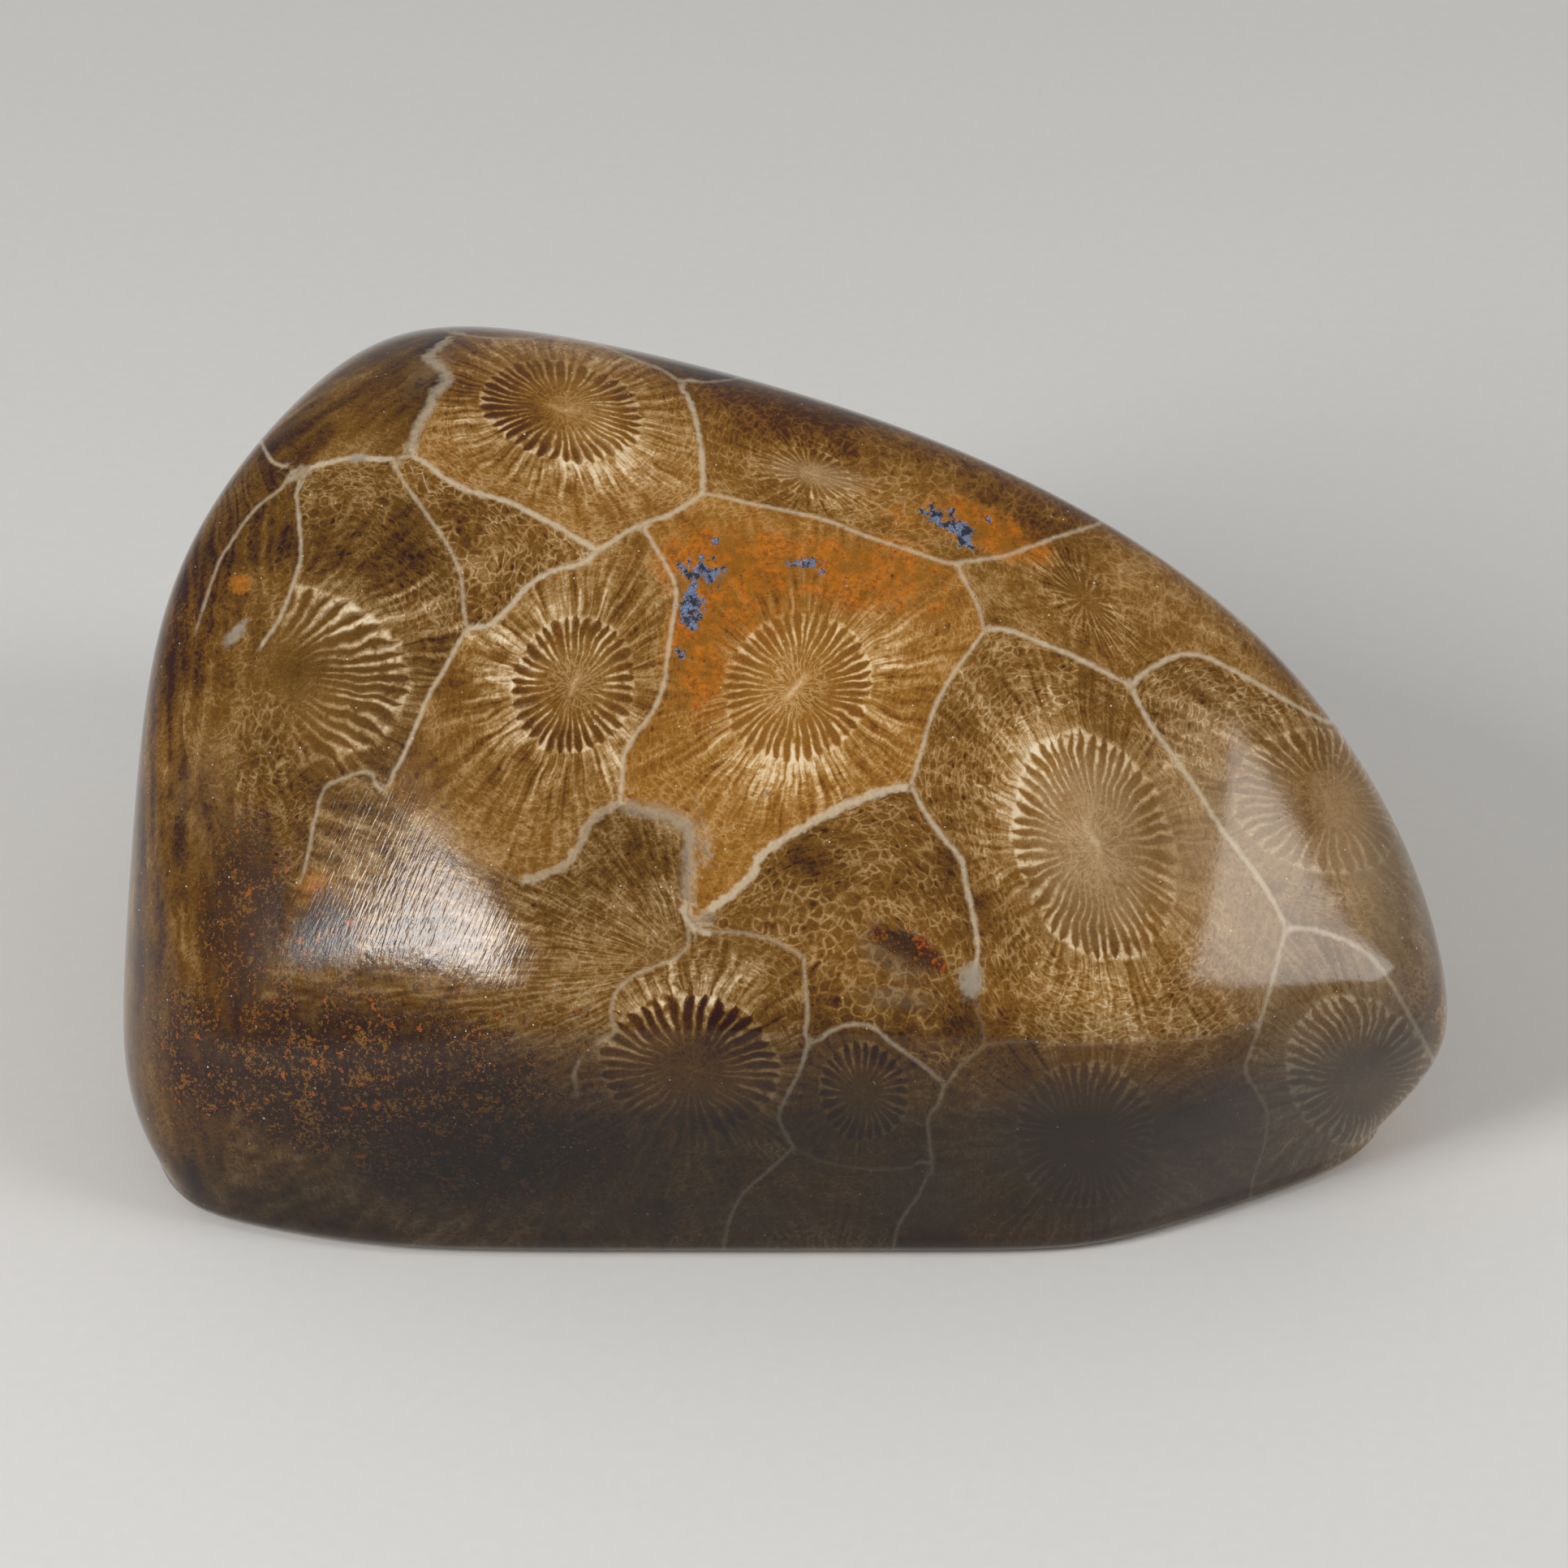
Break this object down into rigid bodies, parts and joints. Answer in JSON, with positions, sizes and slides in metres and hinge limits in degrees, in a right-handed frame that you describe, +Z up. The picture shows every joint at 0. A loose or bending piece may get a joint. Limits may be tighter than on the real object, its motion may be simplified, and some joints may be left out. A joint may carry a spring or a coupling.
{
  "type": "polished fossil coral head",
  "caption": "Palm-sized polished head of fossil colonial coral, ground into soft facets, with a flat base to stand on; a display specimen or paperweight.",
  "frame": {"origin": "middle of the bounding box's underside, on the surface that the stone stands on", "axes": "+X along the longest extent, from the wide end to the tip; -Y out of the steep front face; +Z up, along the shortest extent"},
  "size_m": [0.0696, 0.0502, 0.0386],
  "materials": {
    "polished_coral": "polished"
  },
  "bodies": {
    "root": {"coral_head": "polished_coral"}
  },
  "joints": []
}
